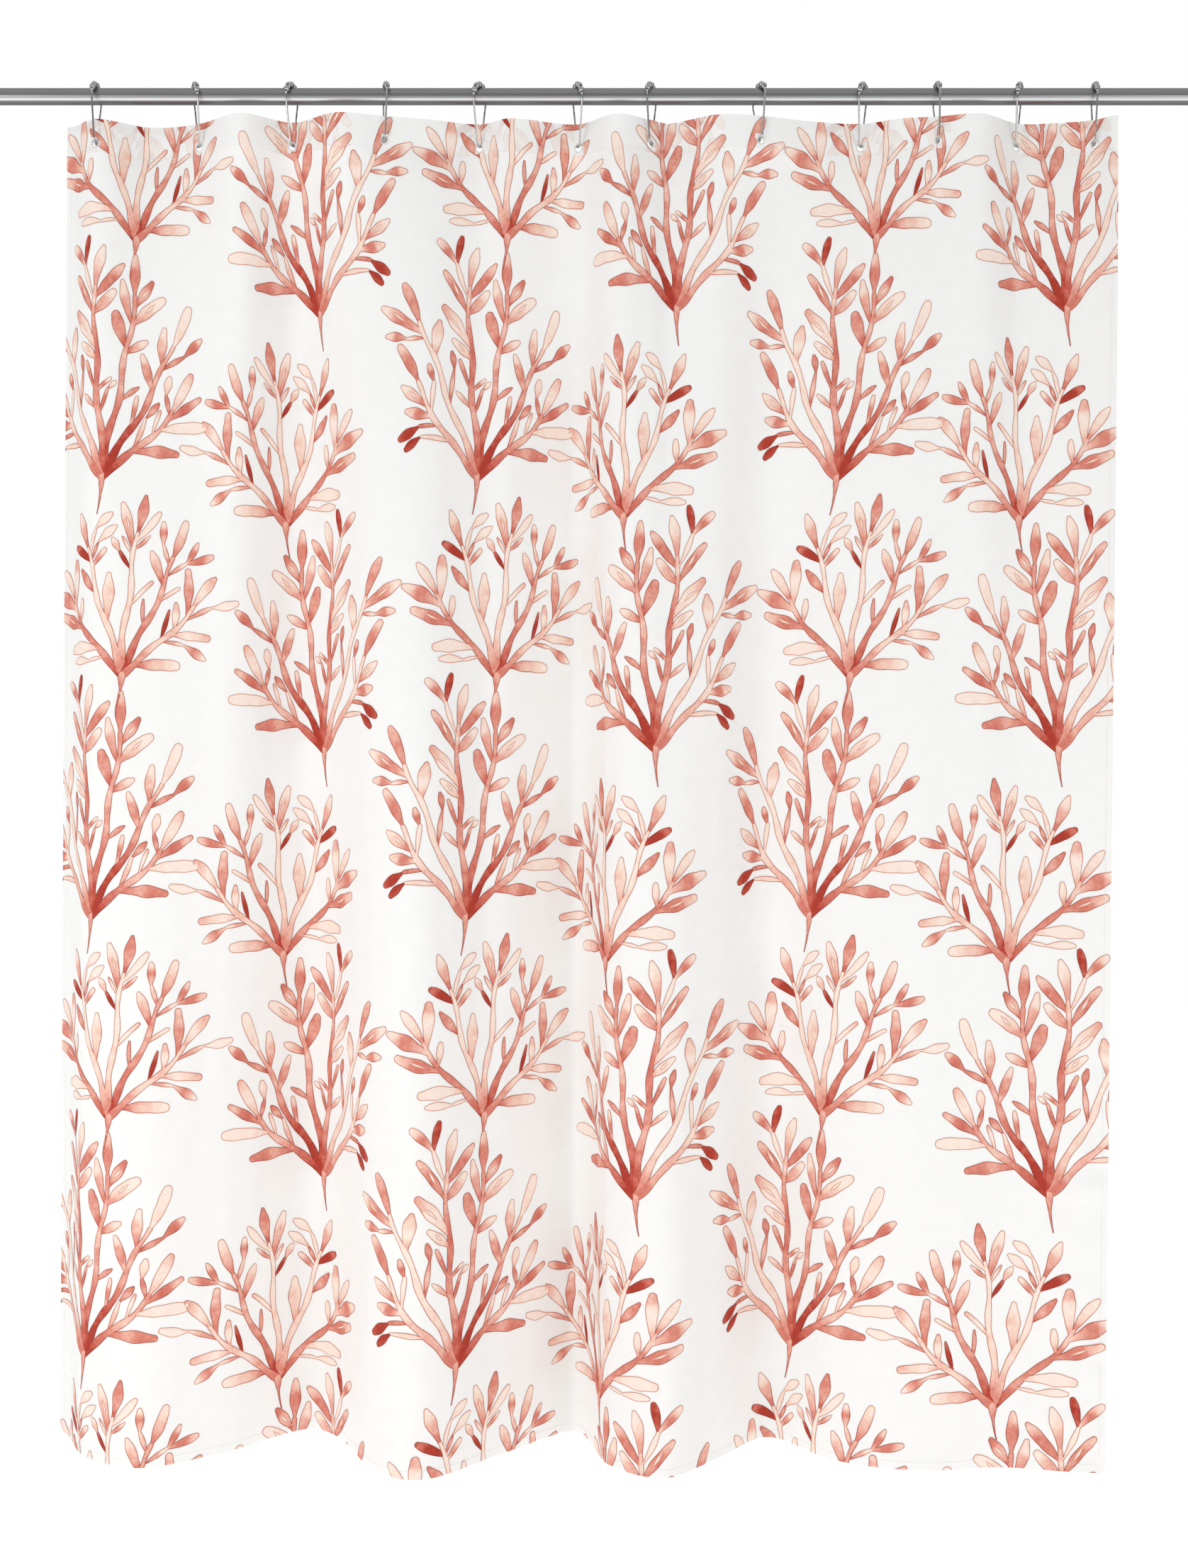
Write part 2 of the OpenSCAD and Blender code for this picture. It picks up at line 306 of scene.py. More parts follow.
def new_piece(name, places, faces, material, flat):
    """A smooth mesh piece on the cloth, which carries its flat places for its material."""
    mesh = bpy.data.meshes.new(name)
    mesh.from_pydata([tuple(p) for p in places], [], [tuple(f) for f in faces])
    mesh.polygons.foreach_set("use_smooth", [True] * len(mesh.polygons))
    layer = mesh.attributes.new("flat", "FLOAT_VECTOR", "POINT")
    layer.data.foreach_set("vector", np.asarray(flat, float).ravel())
    mesh.materials.append(material)
    mesh.update()
    obj = bpy.data.objects.new(name, mesh)
    bpy.context.collection.objects.link(obj)
    return obj


def hang(obj):
    """Lets a piece ride on the cloth's body, on a mesh of its own."""
    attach(obj, "curtain")
    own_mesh(obj)


# Points of the rims further apart than this along X belong to different buttonholes
RIM_GAP = 40 * MM


def buttonholes():
    """Flat places of the buttonholes, from the rims' solids in the frame."""
    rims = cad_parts["buttonhole_rims"].data
    xyz = np.array([v.co for v in rims.vertices])
    groups = []
    for x in sorted(xyz[:, 0]):
        if not groups or x - groups[-1][-1] > RIM_GAP:
            groups.append([])
        groups[-1].append(x)
    return [flat_s_at((g[0] + g[-1]) / 2, HOLE_DROP) for g in groups]


HOLES = buttonholes()
HOLE_R, RIM_R = 4.9 * MM, 6.6 * MM
HOLE_POINTS = 28
COLUMN_COUNT = 366
COLUMN_S = np.linspace(0, CLOTH, COLUMN_COUNT + 1)


def quads(row_count, width):
    """Faces of a grid of points that is listed row by row."""
    return [(r * width + c, r * width + c + 1, (r + 1) * width + c + 1, (r + 1) * width + c)
            for r in range(row_count - 1) for c in range(width - 1)]


def band(t_values):
    """Flat points and quads of a band of cloth, from edge to edge."""
    return [(s, t) for t in t_values for s in COLUMN_S], quads(len(t_values), len(COLUMN_S))


def hole_distance(s, t):
    """Distance from a flat point to the middle of the nearest buttonhole."""
    return min(math.hypot(s - h, t - HOLE_DROP) for h in HOLES)


def band_with_holes(t_values):
    """Flat points and triangles of a band of cloth with its round buttonholes cut out."""
    points = [(s, t) for t in t_values for s in COLUMN_S if hole_distance(s, t) > HOLE_R * 1.25]
    edges = []
    for h in HOLES:
        first = len(points)
        for k in range(HOLE_POINTS):
            a = 2 * math.pi * k / HOLE_POINTS
            points.append((h + HOLE_R * math.cos(a), HOLE_DROP + HOLE_R * math.sin(a)))
            edges.append((first + k, first + (k + 1) % HOLE_POINTS))
    verts, _, faces, _, _, _ = delaunay_2d_cdt([Vector(p) for p in points], edges, [], 0, 1e-7)
    flat = [(v.x, v.y) for v in verts]
    kept = []
    for f in faces:
        cs = sum(flat[i][0] for i in f) / len(f)
        ct = sum(flat[i][1] for i in f) / len(f)
        if hole_distance(cs, ct) > HOLE_R * 0.98:
            kept.append(tuple(f))
    return flat, kept


def joined(parts):
    """Joins flat meshes, merging the points that they share."""
    index, points, faces = {}, [], []
    for part_points, part_faces in parts:
        place = []
        for s, t in part_points:
            key = (round(s, 6), round(t, 6))
            if key not in index:
                index[key] = len(points)
                points.append((s, t))
            place.append(index[key])
        faces += [tuple(place[i] for i in f) for f in part_faces]
    return points, faces


def room_side(points, faces):
    """Faces wound so that their normals look towards the room."""
    out = []
    for f in faces:
        a, b, c = (points[i] for i in f[:3])
        turn = (b[0] - a[0]) * (c[1] - a[1]) - (b[1] - a[1]) * (c[0] - a[0])
        out.append(f if turn < 0 else tuple(reversed(f)))
    return out


HEADER_BANDS, BODY_BANDS, SIDE_ROWS = 9, 148, 250
HEADER_ROWS = [HEADER * k / HEADER_BANDS for k in range(HEADER_BANDS + 1)]


def add_panel(material):
    body_rows = [HEADER + (CLOTH - HEADER) * k / BODY_BANDS for k in range(BODY_BANDS + 1)]
    points, faces = joined([band_with_holes(HEADER_ROWS), band(body_rows)])
    st = np.array(points)
    return new_piece("curtain_cloth", on_cloth(st[:, 0], st[:, 1], 0), room_side(points, faces),
                     material, flat_places(st))


# A hem is a second layer on the back. It rounds over its fold, and is sewn down at its other edge.
LAYER_GAP = 0.9 * MM
FOLD_RADIUS, SEWN_REACH, SEWN_SHARE = 1.5 * MM, 4 * MM, 0.55
FOLD_STEPS = [0, 0.4 * MM, 0.9 * MM, 1.6 * MM]
HEM_STEPS = FOLD_STEPS + [4 * MM, 7 * MM]


def fold_lift(d, depth):
    """Lift of a folded-over layer at a distance from its fold, sewn down again at its depth."""
    round_over = math.sqrt(max(0, 1 - (1 - min(1, d / FOLD_RADIUS)) ** 2))
    sewn = max(0, 1 - (depth - d) / SEWN_REACH)
    return -LAYER_GAP * round_over * (1 - SEWN_SHARE * sewn)


def folded_piece(name, points, faces, from_fold, depth, flat, material):
    """A hem's layer, facing away from the room, from its flat points and their distances to its fold."""
    st = np.array(points)
    lift = np.array([fold_lift(d, depth) for d in from_fold])
    faces = [tuple(reversed(f)) for f in room_side(points, faces)]
    return new_piece(name, on_cloth(st[:, 0], st[:, 1], lift), faces, material, flat)


def add_header_layer(material):
    points, faces = band_with_holes(FOLD_STEPS + HEADER_ROWS[1:-1] + [HEADER - 2 * MM, HEADER])
    s, t = np.array(points).T
    flat = flat_places(np.column_stack([s, -t]))
    return folded_piece("header_fold", points, faces, t, HEADER, flat, material)


def add_bottom_layer(material):
    points, faces = band([CLOTH - d for d in HEM_STEPS + [10 * MM, BOTTOM_HEM]])
    from_fold = [CLOTH - t for _, t in points]
    return folded_piece("bottom_fold", points, faces, from_fold, BOTTOM_HEM, flat_places(points),
                        material)


def add_side_layer(name, at_left, material):
    depths = HEM_STEPS + [SIDE_HEM]
    rows = np.linspace(HEADER, CLOTH - BOTTOM_HEM, SIDE_ROWS)
    points = [(d if at_left else CLOTH - d, t) for t in rows for d in depths]
    from_fold = [s if at_left else CLOTH - s for s, _ in points]
    return folded_piece(name, points, quads(SIDE_ROWS, len(depths)), from_fold, SIDE_HEM,
                        flat_places(points), material)


def tube_faces(first, rings, sides):
    """Faces of a closed tube whose points start at an index and are listed ring by ring."""
    faces = []
    for r in range(rings - 1):
        for m in range(sides):
            n = (m + 1) % sides
            faces.append((first + r * sides + m, first + r * sides + n,
                          first + (r + 1) * sides + n, first + (r + 1) * sides + m))
    faces.append(tuple(first + m for m in reversed(range(sides))))
    faces.append(tuple(first + (rings - 1) * sides + m for m in range(sides)))
    return faces


STITCH, STITCH_GAP, THREAD_R = 3.0 * MM, 0.9 * MM, 0.28 * MM
STITCH_BASE, STITCH_RISE = 0.12 * MM, 0.3 * MM


def add_stitches(name, rows, material):
    """Rows of sewn stitches, each row (s0, t0, s1, t1) in flat places; each stitch dips at its ends."""
    sides, rings = 5, (0, 0.18, 0.5, 0.82, 1)
    st, lift, faces = [], [], []
    for s0, t0, s1, t1 in rows:
        length = math.hypot(s1 - s0, t1 - t0)
        along = ((s1 - s0) / length, (t1 - t0) / length)
        count = int(length / (STITCH + STITCH_GAP))
        for k in range(count):
            start = (k + 0.1) * (STITCH + STITCH_GAP)
            first = len(st)
            for q in rings:
                bulge = math.sin(math.pi * (0.12 + 0.76 * q))  # thin at both ends, full in between
                d = start + q * STITCH
                for m in range(sides):
                    a = 2 * math.pi * m / sides
                    across = THREAD_R * bulge * math.cos(a)
                    st.append((s0 + along[0] * d - along[1] * across,
                               t0 + along[1] * d + along[0] * across))
                    lift.append(STITCH_BASE + STITCH_RISE * bulge + THREAD_R * bulge * math.sin(a))
            faces += tube_faces(first, len(rings), sides)
    st = np.array(st)
    places = on_cloth(st[:, 0], st[:, 1], np.array(lift))
    return new_piece(name, places, faces, material, flat_places(st))


RIM_STITCHES = 64
RIM_UNEVEN = 0.35
RIM_INNER = HOLE_R - 0.2 * MM
RIM_BASE = {1: 0.05 * MM, -1: -LAYER_GAP}
RIM_THREAD_R = 0.14 * MM


def add_buttonhole_rims(material):
    """Satin-stitched rims: close, slightly uneven radial stitches round each hole, on both sides."""
    st, lift, faces = [], [], []
    sides, rings = 6, (0, 0.25, 0.6, 1)
    for h in HOLES:
        for side in (1, -1):
            for k in range(RIM_STITCHES):
                a = 2 * math.pi * (k + 0.5) / RIM_STITCHES
                outer = RIM_R + rng.uniform(-RIM_UNEVEN, RIM_UNEVEN) * MM
                first = len(st)
                for q in rings:
                    r = RIM_INNER + (outer - RIM_INNER) * q
                    half = 0.62 * math.pi * r / RIM_STITCHES
                    rise = (0.10 + 0.22 * math.sin(math.pi * (0.15 + 0.75 * q))) * MM
                    for m in range(sides):
                        b = 2 * math.pi * m / sides
                        across = half * math.cos(b)
                        st.append((h + r * math.cos(a) - across * math.sin(a),
                                   HOLE_DROP + r * math.sin(a) + across * math.cos(a)))
                        lift.append(RIM_BASE[side] + side * (rise + RIM_THREAD_R * math.sin(b)))
                faces += tube_faces(first, len(rings), sides)
    st = np.array(st)
    places = on_cloth(st[:, 0], st[:, 1], np.array(lift))
    return new_piece("buttonhole_stitching", places, faces, material,
                     flat_places(st))


# ---------------------------------------------------------------- the printed coral

# A motif is drawn in millimetres, with its stalk's end at the origin and y upwards.
RIM_W = 1.05         # width of a limb's darker outline
OUTLINE_STEP = 4.0   # between the points of a centre line
INNER_STEP = 6.0     # between the points inside a limb
# Pigment along a limb from its base to its tip: from 0, palest peach, to 1, brick
WASHES = [
    (0.50, 0.24, 0.0), (0.75, 0.42, 0.05), (0.55, 0.68, 0.30), (0.15, 0.04, -0.05),
    (0.80, 0.50, 0.66), (0.30, 0.62, 0.10), (0.40, 0.06, 0.40), (0.20, 0.02, 0.0),
    (0.95, 1.05, 0.90)]
BOUGH_WASHES = [
    (1.05, 0.70, 0.40, 0.55), (0.95, 0.50, 0.70, 0.30), (0.75, 0.40, 0.25, 0.15),
    (1.1, 0.95, 0.50, 0.40), (0.65, 0.22, 0.08, 0.05)]


def spread(values, q):
    """Value at a share q along a short list, eased between its entries."""
    place = q * (len(values) - 1)
    i = min(len(values) - 2, int(place))
    f = place - i
    f = f * f * (3 - 2 * f)
    return values[i] * (1 - f) + values[i + 1] * f


def grow(start, heading, length, bend, sway=0.0, waves=1.0):
    """Centre line that sets off at a heading, turns by bend and sways, all in degrees."""
    count = max(4, int(length / OUTLINE_STEP))
    x, y = start
    line = [(x, y)]
    for k in range(count):
        u = (k + 0.5) / count
        a = math.radians(heading + bend * u + sway * math.sin(2 * math.pi * waves * u))
        x += length / count * math.cos(a)
        y += length / count * math.sin(a)
        line.append((x, y))
    return line


def point_on(line, share):
    """Place and heading at a share along a centre line."""
    k = min(len(line) - 1, int(round(share * (len(line) - 1))))
    a, b = line[max(0, k - 1)], line[min(len(line) - 1, k + 1)]
    return line[k], math.degrees(math.atan2(b[1] - a[1], b[0] - a[0]))


BOUGH_WAVE = 110
FINGER_TRIALS = 6
FORK_CHANCE, SLIT_CHANCE = 0.3, 0.2
BARE = (0, 0.05, 0)


class Motif:
    """A painted coral, as a list of limbs: each has a centre line, half widths, its pigment along the
    way, and whether it is a bare slit that lies over the others."""

    def __init__(self, seed):
        self.limbs = []
        self.pick = random.Random(seed)

    def stem(self, start, heading, length, bend, widths, wash, sway=0.0):
        """A stalk or bough, which is drawn even where it crosses others."""
        line = grow(start, heading, length, bend, sway, length / BOUGH_WAVE)
        wobble = self.pick.uniform(0, 6)
        half = [spread(widths, k / (len(line) - 1)) / 2 * (1 + 0.13 * math.sin(wobble + k * 0.55))
                for k in range(len(line))]
        self.limbs.append((line, half, wash, False))
        return line

    def leaf_shape(self, start, heading, length, width, neck=0.3, peak=0.62, tip=0.6):
        """A finger: narrow at its neck, widest at its peak and drawn in again to its round tip."""
        line = grow(start, heading, length, self.pick.uniform(-18, 18))
        wobble = self.pick.uniform(0, 6)
        half = []
        for k in range(len(line)):
            q = k / (len(line) - 1)
            if q < peak:
                rise = neck + (1 - neck) * math.sin(math.pi / 2 * q / peak) ** 1.6
            else:
                rise = 1 - (1 - tip) * ((q - peak) / (1 - peak)) ** 1.8
            half.append(width / 2 * rise * (1 + 0.09 * math.sin(wobble + k * 0.7)))
        return line, half

    def room_for(self, line, half, gap=1.3):
        """Whether the outer part of a finger keeps clear of every limb so far."""
        first = max(2, int(len(line) * 0.42))
        tip, width = np.array(line[first:]), np.array(half[first:])
        for other, other_half, _, over in self.limbs:
            if not over:
                apart = np.hypot(tip[:, None, 0] - np.array(other)[None, :, 0],
                                 tip[:, None, 1] - np.array(other)[None, :, 1])
                if (apart - width[:, None] - np.array(other_half)[None, :]).min() < gap:
                    return False
        return True

    def finger(self, start, heading, length, width):
        """Grows a finger where there is room for it, trying shorter and thinner ones in turn."""
        wash = self.pick.choice(WASHES)
        for trial in range(FINGER_TRIALS):
            size = 1 - 0.12 * trial
            line, half = self.leaf_shape(start, heading + self.pick.uniform(-7, 7) * trial,
                                         length * size, width * (1 - 0.06 * trial),
                                         tip=self.pick.choice((0.45, 0.6, 0.75)))
            if self.room_for(line, half):
                self.limbs.append((line, half, wash, False))
                return line
        return None

    def offshoot(self, at, heading, length, width):
        """A single finger, at times with a bare slit, or a twig that forks into two."""
        size = self.pick.uniform(0.75, 1.25)
        if self.pick.random() < FORK_CHANCE:
            twig = self.finger(at, heading, length * size * 0.75, width * 0.5)
            if twig:
                tip, way = point_on(twig, 1)
                self.finger(tip, way - 20, length * size * 0.60, width * 0.85)
                self.finger(tip, way + 24, length * size * 0.55, width * 0.80)
        else:
            leaf = self.finger(at, heading, length * size, width * self.pick.uniform(0.85, 1.35))
            if leaf and self.pick.random() < SLIT_CHANCE:
                self.slit(leaf, width)

    def slit(self, line, width):
        """A bare sliver left inside a wide finger."""
        at, heading = point_on(line, 0.4)
        long = math.dist(line[0], line[-1]) * 0.38
        sliver, half = self.leaf_shape(at, heading, long, width * 0.3, 0.2, 0.5, 0.2)
        self.limbs.append((sliver, half, BARE, True))


THINNEST = 0.15
TIP_STEP = 2.2


def outline(line, half, inset):
    """Closed outline of a limb with a round end, drawn in by inset."""
    n = len(line)
    left, right = [], []
    for k in range(n):
        a, b = line[max(0, k - 1)], line[min(n - 1, k + 1)]
        d = math.hypot(b[0] - a[0], b[1] - a[1])
        nx, ny = -(b[1] - a[1]) / d, (b[0] - a[0]) / d
        h = max(THINNEST, half[k] - inset)
        left.append((line[k][0] + nx * h, line[k][1] + ny * h))
        right.append((line[k][0] - nx * h, line[k][1] - ny * h))
    (x, y), (px, py) = line[-1], line[-2]
    tip = math.atan2(y - py, x - px)
    r = max(THINNEST, half[-1] - inset)
    steps = max(3, int(math.pi * r / TIP_STEP))
    turns = [tip + math.pi / 2 - math.pi * k / steps for k in range(1, steps)]
    return left + [(x + r * math.cos(a), y + r * math.sin(a)) for a in turns] + right[::-1]


def inside(polygon, x, y):
    """Which of many points lie inside a polygon, by crossings."""
    hit = np.zeros(len(x), bool)
    px, py = np.array(polygon).T
    for xi, yi, xj, yj in zip(px, py, np.roll(px, 1), np.roll(py, 1)):
        if yi != yj:
            hit ^= ((yi > y) != (yj > y)) & (x < (xj - xi) * (y - yi) / (yj - yi) + xi)
    return hit


def paint(motif):
    """Flat mesh of a motif: points, triangles, and each corner's tone and rim.

    Where limbs cross, the one drawn first shows, apart from slits, which lie over the rest."""
    verts, edges, polygons = [], [], []
    for line, half, _, _ in motif.limbs:
        for inset in (0, RIM_W):
            loop = outline(line, half, inset)
            first = len(verts)
            verts += loop
            edges += [(first + k, first + (k + 1) % len(loop)) for k in range(len(loop))]
            polygons.append(loop)
    low, high = np.min(verts, axis=0), np.max(verts, axis=0)
    gx, gy = np.meshgrid(np.arange(low[0], high[0], INNER_STEP),
                         np.arange(low[1], high[1], INNER_STEP))
    gx, gy = gx.ravel(), gy.ravel()
    filled = np.zeros(len(gx), bool)
    for polygon in polygons[1::2]:
        filled |= inside(polygon, gx, gy)
    verts += [(float(x), float(y)) for x, y in zip(gx[filled], gy[filled])]
    out, _, faces, _, _, _ = delaunay_2d_cdt([Vector(v) for v in verts], edges, [], 0, 1e-4,
                                             False)
    points = np.array([(v.x, v.y) for v in out])
    tri = np.array([f for f in faces if len(f) == 3])
    cx, cy = points[tri].mean(axis=1).T
    within = np.array([inside(p, cx, cy) for p in polygons])
    outer, inner = within[0::2], within[1::2]
    over = np.array([limb[3] for limb in motif.limbs])
    lines = [np.array(limb[0]) for limb in motif.limbs]
    triangles, tones, rims = [], [], []
    for k in np.flatnonzero(outer.any(axis=0)):
        slits = np.flatnonzero(outer[:, k] & over)
        if len(slits):
            top = int(slits[-1])
            rim = not inner[top, k]
        else:
            rim = not inner[:, k].any()
            top = int(np.flatnonzero(outer[:, k] if rim else inner[:, k])[0])
        line, wash = lines[top], motif.limbs[top][2]
        triangles.append(tuple(tri[k]))
        for corner in tri[k]:
            d = np.hypot(*(line - points[corner]).T)
            tones.append(spread(wash, float(np.argmin(d)) / (len(line) - 1)))
            rims.append(float(rim))
    return points, triangles, tones, rims


# Fingers along a bough: their spacing in finger lengths, where they start and how far they reach
FINGER_SPACING, LOWEST_FINGER, FINGER_STRETCH = 0.24, 0.14, 0.80


def grown(seed, stalk, lean, fan, reach, finger, width, upturn):
    """A motif grown by rule. Boughs leave the top of a thin stalk in a fan of (heading, share of
    reach). Fingers then sprout on both sides of every bough, from its tip down to its base, where
    there is room, and about three in ten of them fork."""
    m = Motif(seed)
    pick = m.pick
    stem = m.stem((0, 0), 90 + lean, stalk, -lean, (1.8, 3.5, width * 0.7), (0.85, 0.60, 0.50))
    boughs = []
    for heading, share in fan:
        wash = pick.choice(BOUGH_WASHES)
        bend = (90 - heading) * upturn + pick.uniform(-6, 6)
        side = 1 if heading < 90 else -1
        boughs.append(m.stem(stem[-1], heading, reach * share, bend,
                             (width * 0.75, width * 0.62, width * 0.42), wash, 9 * side))
    for line in boughs:
        at, heading = point_on(line, 1)
        m.finger(at, heading, finger * 0.95, width * 1.05)
    steps = int(reach / (finger * FINGER_SPACING))
    for step in range(steps, -1, -1):
        for number, line in enumerate(boughs):
            share = LOWEST_FINGER + FINGER_STRETCH * (step + pick.uniform(-0.2, 0.2)) / steps
            at, heading = point_on(line, share)
            for side in ((1, -1) if (step + number) % 2 else (-1, 1)):
                m.offshoot(at, heading + side * pick.uniform(17, 38), finger, width)
    return m


def coral():
    """A tall fan of six boughs."""
    fan = ((36, 0.62), (60, 0.88), (82, 1.0), (104, 0.97), (128, 0.80), (152, 0.54))
    return grown(5, 52, 14, fan, 262, 58, 16, 0.40)


def sprig():
    """A lower bush of five boughs, leaning the other way."""
    fan = ((32, 0.72), (60, 0.90), (86, 1.0), (114, 0.95), (144, 0.76))
    return grown(9, 46, -16, fan, 196, 54, 15, 0.34)


HOLE_MARGIN = 1.2 * MM


def over_buttonhole(s, t):
    """Which triangles, as rows of three corners, reach into a buttonhole or lie on its rim."""
    hit = np.zeros(len(s), bool)
    for hole in HOLES:
        hit |= (np.hypot(s - hole, t - HOLE_DROP) < HOLE_R + HOLE_MARGIN).any(axis=1)
        hit |= np.hypot(s.mean(axis=1) - hole, t.mean(axis=1) - HOLE_DROP) < RIM_R
    return hit


OVER_EDGE_START = 0.5 * MM
SMALLEST_AREA = 1e-9


def stamp(art, at, mirrored, lift, turned_back=False, over_edge=False):
    """A motif laid on the cloth with its stem's end at a flat place, cut at the cloth's edges.

    turned_back faces it away from the room. over_edge takes the part that runs past the top edge and
    folds it down over the header. Returns places, triangles, tones, rims and flat places, or None."""
    points, triangles, tones, rims = art
    s = at[0] + (-1 if mirrored else 1) * points[:, 0] * MM
    t = at[1] - points[:, 1] * MM
    low_t, high_t = 0, CLOTH
    if over_edge:
        t = -t
        low_t, high_t = OVER_EDGE_START, HEADER
    outside = (s < 0) | (s > CLOTH) | (t < low_t) | (t > high_t)
    sc, tc = np.clip(s, 0, CLOTH), np.clip(t, low_t, high_t)
    tri = np.array(triangles)
    tone, rim = np.array(tones).reshape(-1, 3), np.array(rims).reshape(-1, 3)
    area = ((sc[tri[:, 1]] - sc[tri[:, 0]]) * (tc[tri[:, 2]] - tc[tri[:, 0]])
            - (sc[tri[:, 2]] - sc[tri[:, 0]]) * (tc[tri[:, 1]] - tc[tri[:, 0]]))
    keep = ~outside[tri].all(axis=1) & (np.abs(area) > SMALLEST_AREA)
    keep &= ~over_buttonhole(sc[tri], tc[tri])
    tri, tone, rim, area = tri[keep], tone[keep], rim[keep], area[keep]
    if not len(tri):
        return None
    turn = (area > 0) != turned_back
    for values in (tri, tone, rim):
        values[turn] = values[turn][:, ::-1]
    used, inverse = np.unique(tri.ravel(), return_inverse=True)
    flat = np.column_stack([points[used] * MM, np.zeros(len(used))])
    return on_cloth(sc[used], tc[used], lift), inverse.reshape(-1, 3), tone, rim, flat


def print_piece(name, stamps, material):
    """One piece of print made of some stamps."""
    start = np.cumsum([0] + [len(one[0]) for one in stamps])
    tri = np.vstack([one[1] + first for one, first in zip(stamps, start)])
    obj = new_piece(name, np.vstack([one[0] for one in stamps]), tri.tolist(), material,
                    np.vstack([one[4] for one in stamps]))
    for label, k in (("tone", 2), ("rim", 3)):
        layer = obj.data.attributes.new(label, "FLOAT", "CORNER")
        layer.data.foreach_set("value", np.vstack([one[k] for one in stamps]).ravel())
    return obj


# ---------------------------------------------------------------- materials

def node_material(name):
    """A new node material with its nodes, its links and its shader."""
    mat = bpy.data.materials.new(name)
    mat.use_nodes = True
    return mat, mat.node_tree.nodes, mat.node_tree.links, mat.node_tree.nodes["Principled BSDF"]


def attribute(nodes, name):
    node = nodes.new("ShaderNodeAttribute")
    node.attribute_name = name
    return node


def noise(nodes, links, vector, scale, detail=3.0, rough=0.55):
    node = nodes.new("ShaderNodeTexNoise")
    node.inputs["Scale"].default_value = scale
    node.inputs["Detail"].default_value = detail
    node.inputs["Roughness"].default_value = rough
    links.new(vector, node.inputs["Vector"])
    return node.outputs["Fac"]


def ramp(nodes, links, value, stops):
    node = nodes.new("ShaderNodeValToRGB")
    elements = node.color_ramp.elements
    for i, (place, color) in enumerate(stops):
        stop = elements[i] if i < 2 else elements.new(place)
        stop.position = place
        stop.color = (*color, 1)
    links.new(value, node.inputs[0])
    return node.outputs[0]


def mix_color(nodes, links, kind, share, a, b):
    node = nodes.new("ShaderNodeMix")
    node.data_type = "RGBA"
    node.blend_type = kind
    for socket, value in ((node.inputs[0], share), (node.inputs[6], a), (node.inputs[7], b)):
        if hasattr(value, "links"):
            links.new(value, socket)
        elif isinstance(value, tuple):
            socket.default_value = (*value, 1)
        else:
            socket.default_value = value
    return node.outputs[2]


WEAVE_SCALE, WEAVE_STRENGTH, WEAVE_HEIGHT = 420, 0.25, 0.00025


def weave_bump(nodes, links, flat, shader):
    """Plain weave of fine threads with soft unevenness, as bump."""
    heights = []
    for axis in ("X", "Y"):
        wave = nodes.new("ShaderNodeTexWave")
        wave.bands_direction = axis
        wave.inputs["Scale"].default_value = WEAVE_SCALE
        wave.inputs["Distortion"].default_value = 0.6
        links.new(flat, wave.inputs["Vector"])
        heights.append(wave.outputs["Fac"])
    add = nodes.new("ShaderNodeMath")
    add.operation = "ADD"
    links.new(heights[0], add.inputs[0])
    links.new(heights[1], add.inputs[1])
    grain = noise(nodes, links, flat, 260, 4)
    total = nodes.new("ShaderNodeMath")
    total.operation = "ADD"
    links.new(add.outputs[0], total.inputs[0])
    links.new(grain, total.inputs[1])
    bump = nodes.new("ShaderNodeBump")
    bump.inputs["Strength"].default_value = WEAVE_STRENGTH
    bump.inputs["Distance"].default_value = WEAVE_HEIGHT
    links.new(total.outputs[0], bump.inputs["Height"])
    links.new(bump.outputs[0], shader.inputs["Normal"])


def srgb(r, g, b):
    """Linear colour of an sRGB one given in 0 to 255."""
    return tuple(c / 255 / 12.92 if c <= 10 else ((c / 255 + 0.055) / 1.055) ** 2.4
                 for c in (r, g, b))


def cloth_material(name, tint):
    """Woven cloth of one tint, with faint slubs."""
    mat, nodes, links, shader = node_material(name)
    flat = attribute(nodes, "flat").outputs["Vector"]
    slub = noise(nodes, links, flat, 38, 5, 0.6)
    color = ramp(nodes, links, slub, [(0.3, tuple(c * 0.975 for c in tint)), (0.7, tint)])
    links.new(color, shader.inputs["Base Color"])
    shader.inputs["Roughness"].default_value = 0.72
    shader.inputs["Specular IOR Level"].default_value = 0.25
    shader.inputs["Sheen Weight"].default_value = 0.12
    shader.inputs["Sheen Roughness"].default_value = 0.5
    weave_bump(nodes, links, flat, shader)
    return mat


